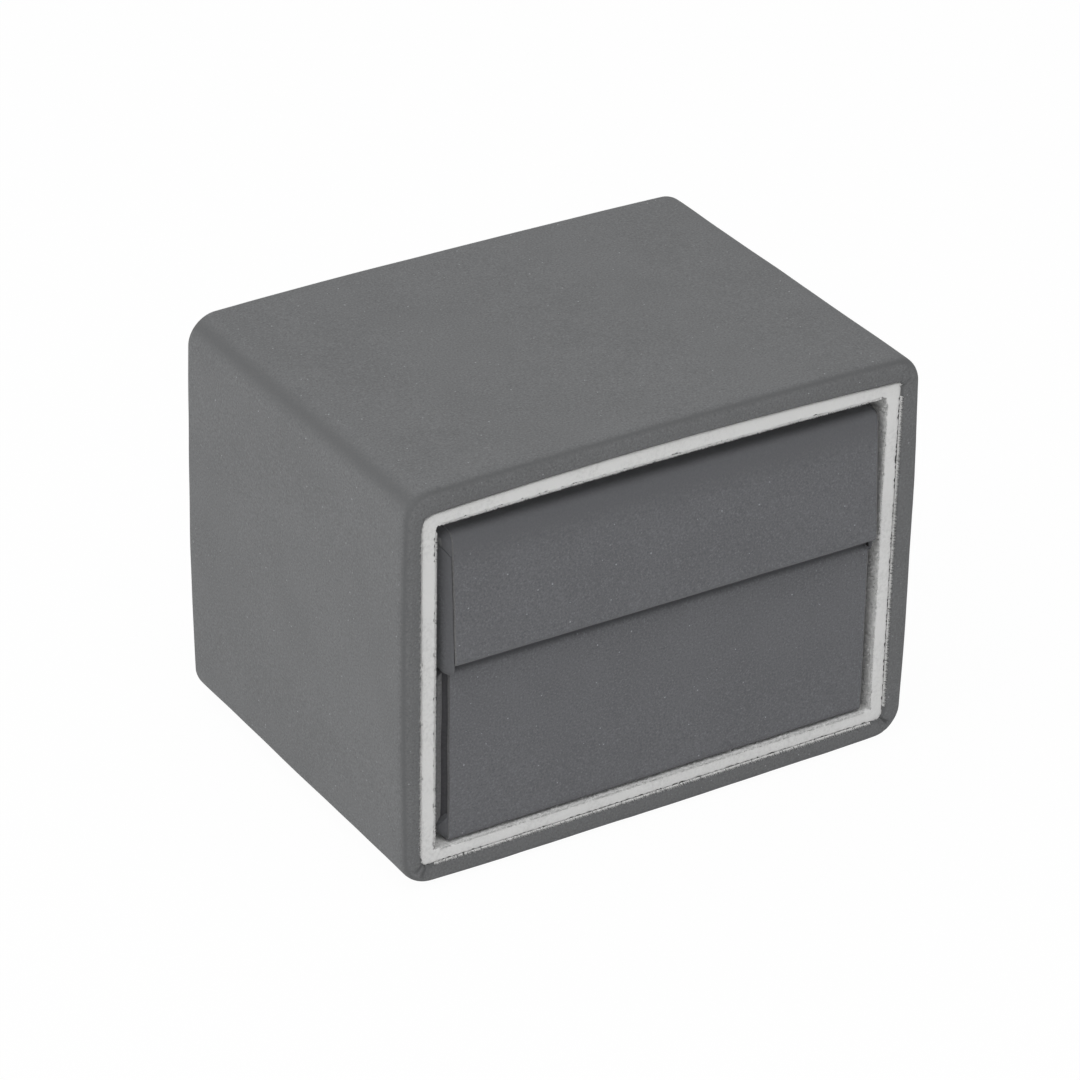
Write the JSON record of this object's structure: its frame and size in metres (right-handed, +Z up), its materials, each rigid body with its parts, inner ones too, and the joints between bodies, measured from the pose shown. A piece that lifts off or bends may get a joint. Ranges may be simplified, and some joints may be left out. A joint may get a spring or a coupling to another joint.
{
  "type": "ring box with drawer",
  "caption": "Small padded ring box that slides like a drawer out of a plush-lined sleeve, with a hinged lid and foam rolls that hold a ring.",
  "frame": {"origin": "middle of the footprint, on the surface that the sleeve rests on", "axes": "+X to the right seen from the open front, +Y from the open front to the back, +Z up"},
  "size_m": [0.08, 0.0587, 0.0595],
  "materials": {
    "wrap_nubuck": "matt nubuck, grey",
    "cover_nubuck": "matt nubuck, grey",
    "greyboard": "raw board",
    "plush": "short pale pile",
    "moulded_tray": "matt dark grey",
    "velvet": "short grey pile",
    "satin": "pale satin",
    "hinge_steel": "bright zinc plate"
  },
  "bodies": {
    "sleeve": {"sleeve_wrap": "wrap_nubuck", "sleeve_bottom_sheet": "wrap_nubuck", "sleeve_back_sheet": "wrap_nubuck", "sleeve_top_board": "greyboard", "sleeve_bottom_board": "greyboard", "sleeve_left_board": "greyboard", "sleeve_right_board": "greyboard", "sleeve_back_board": "greyboard", "plush_top": "plush", "plush_bottom": "plush", "plush_left": "plush", "plush_right": "plush", "plush_back": "plush"},
    "ring_box": {"box_shell": "moulded_tray", "box_cover": "cover_nubuck", "box_flank_left": "cover_nubuck", "box_flank_right": "cover_nubuck", "inner_frame": "velvet", "pad_card": "greyboard", "ring_pad_front": "velvet", "ring_pad_rear": "velvet", "box_hinge_leaf": "hinge_steel", "hinge_pin": "hinge_steel", "hinge_spring": "hinge_steel"},
    "lid": {"lid_shell": "moulded_tray", "lid_cover": "cover_nubuck", "lid_flank_left": "cover_nubuck", "lid_flank_right": "cover_nubuck", "lid_lining": "velvet", "lid_pad": "satin", "lid_hinge_leaf": "hinge_steel"}
  },
  "joints": [
    {"name": "drawer_slide", "type": "slide", "parent": "sleeve", "child": "ring_box", "axis": [0, -1, 0], "range_m": [0, 0.06]},
    {"name": "lid_hinge", "type": "hinge", "parent": "ring_box", "child": "lid", "pos_m": [0, 0.0233, 0.03205], "axis": [-1, 0, 0], "range_deg": [0, 1.6]}
  ]
}
